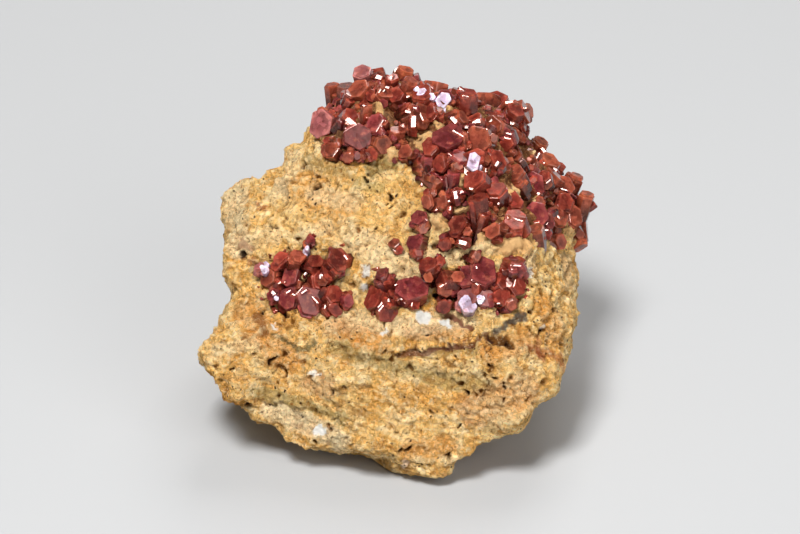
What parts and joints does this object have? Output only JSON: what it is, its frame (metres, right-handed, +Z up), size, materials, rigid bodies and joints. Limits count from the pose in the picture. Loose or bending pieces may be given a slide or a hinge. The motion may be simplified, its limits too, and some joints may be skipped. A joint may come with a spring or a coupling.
{
  "type": "vanadinite in matrix mineral specimen",
  "caption": "Broken block of ochre rock with a druse of red-brown hexagonal crystals over its top and flank, standing on a flat base.",
  "frame": {"origin": "middle of the specimen's footprint, on the surface that it stands on", "axes": "+Z up, +X along its width to the right as seen from the front, +Y away from the front"},
  "size_m": [0.062, 0.0532, 0.05],
  "materials": {
    "matrix_rock": "matte",
    "vanadinite": "gloss"
  },
  "bodies": {
    "root": {"matrix": "matrix_rock", "upper_crystal_druse": "vanadinite", "lower_left_crystal_cluster": "vanadinite", "lower_middle_crystal_cluster": "vanadinite", "lower_right_crystal_cluster": "vanadinite", "lone_crystal_1": "vanadinite", "lone_crystal_2": "vanadinite", "lone_crystal_3": "vanadinite", "lone_crystal_4": "vanadinite", "lone_crystal_5": "vanadinite", "lone_crystal_6": "vanadinite", "thin_tablet_crystal": "vanadinite"}
  },
  "joints": []
}
